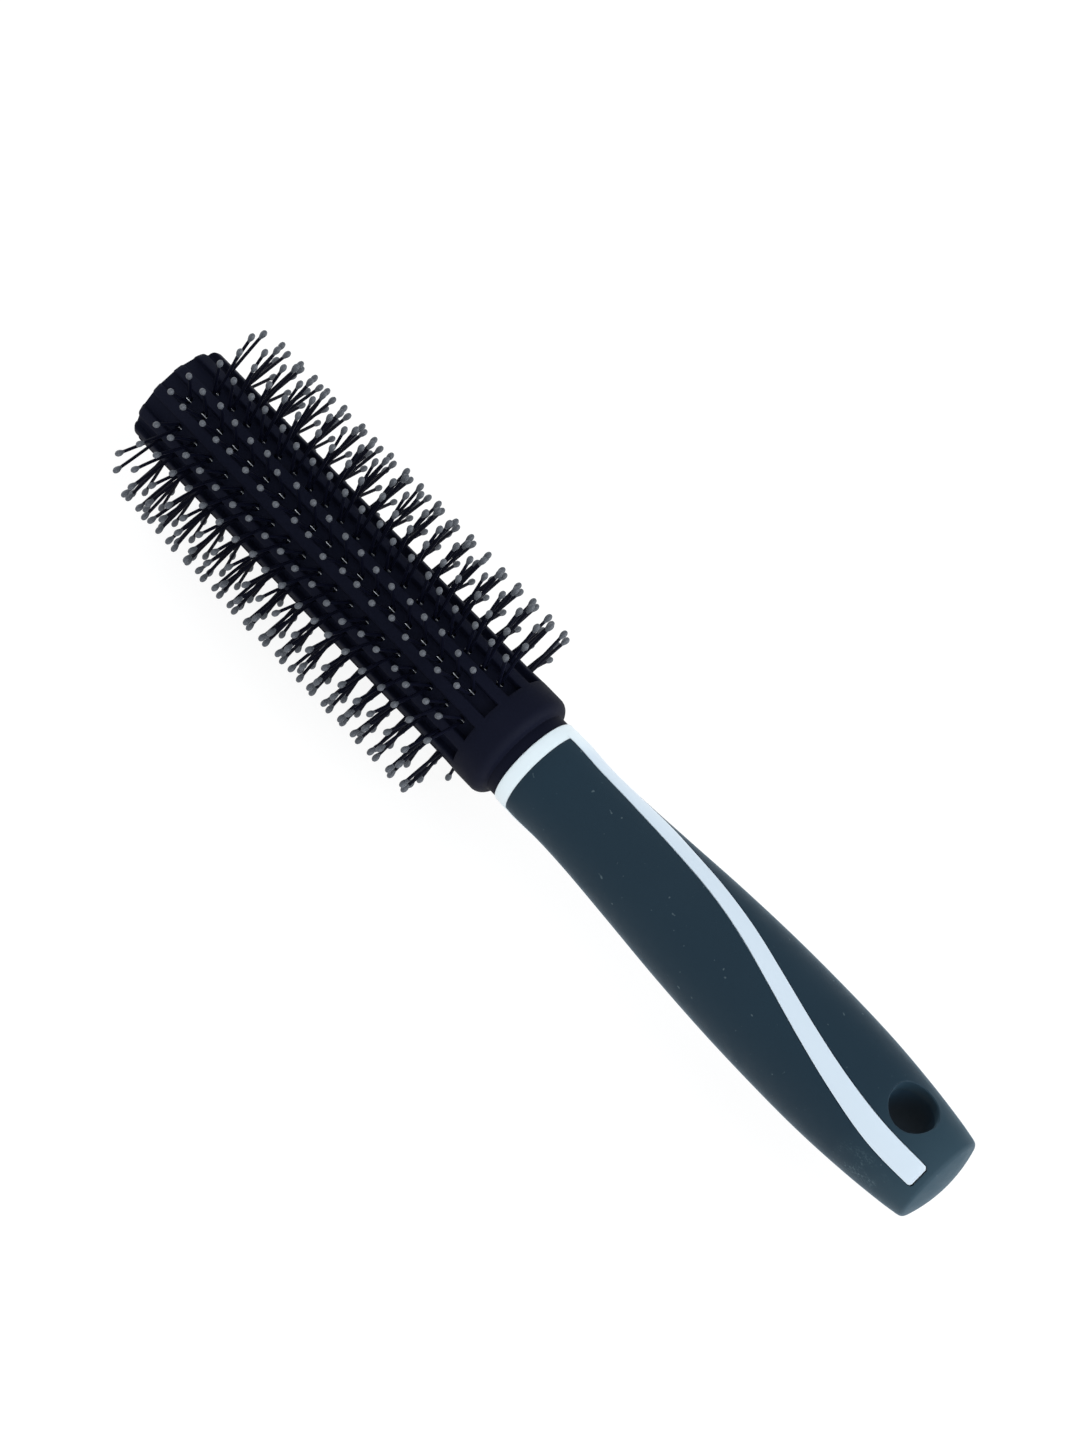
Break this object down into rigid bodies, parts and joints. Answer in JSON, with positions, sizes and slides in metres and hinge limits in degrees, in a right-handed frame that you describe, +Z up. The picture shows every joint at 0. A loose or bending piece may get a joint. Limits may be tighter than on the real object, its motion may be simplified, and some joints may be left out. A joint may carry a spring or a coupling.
{
  "type": "round hair brush",
  "caption": "Round styling brush: ribbed black barrel with rows of ball-tipped bristles, white-striped soft-grip handle with a hang hole.",
  "frame": {"origin": "under the middle of the brush's bounding box, on the surface that the lowest bristle tips touch", "axes": "+X from the barrel's tip to the handle's butt, +Z up along the hang hole's axis"},
  "size_m": [0.229, 0.0468, 0.0469],
  "materials": {
    "barrel_plastic": "satin black moulded plastic",
    "bristle_nylon": "glossy black nylon filament",
    "ball_tip": "smooth grey ball on each filament end",
    "anchor_metal": "bright flat wire",
    "core_plastic": "satin white hard plastic, slightly cool",
    "grip_rubber": "soft-touch matt dark slate green"
  },
  "bodies": {
    "root": {"barrel": "barrel_plastic", "bristle_row_01": "bristle_nylon", "bristle_row_02": "bristle_nylon", "bristle_row_03": "bristle_nylon", "bristle_row_04": "bristle_nylon", "bristle_row_05": "bristle_nylon", "bristle_row_06": "bristle_nylon", "bristle_row_07": "bristle_nylon", "bristle_row_08": "bristle_nylon", "bristle_row_09": "bristle_nylon", "bristle_row_10": "bristle_nylon", "bristle_row_11": "bristle_nylon", "bristle_row_12": "bristle_nylon", "anchor_row_01": "anchor_metal", "anchor_row_02": "anchor_metal", "anchor_row_03": "anchor_metal", "anchor_row_04": "anchor_metal", "anchor_row_05": "anchor_metal", "anchor_row_06": "anchor_metal", "anchor_row_07": "anchor_metal", "anchor_row_08": "anchor_metal", "anchor_row_09": "anchor_metal", "anchor_row_10": "anchor_metal", "anchor_row_11": "anchor_metal", "anchor_row_12": "anchor_metal", "handle_core": "core_plastic", "grip": "grip_rubber"}
  },
  "joints": []
}
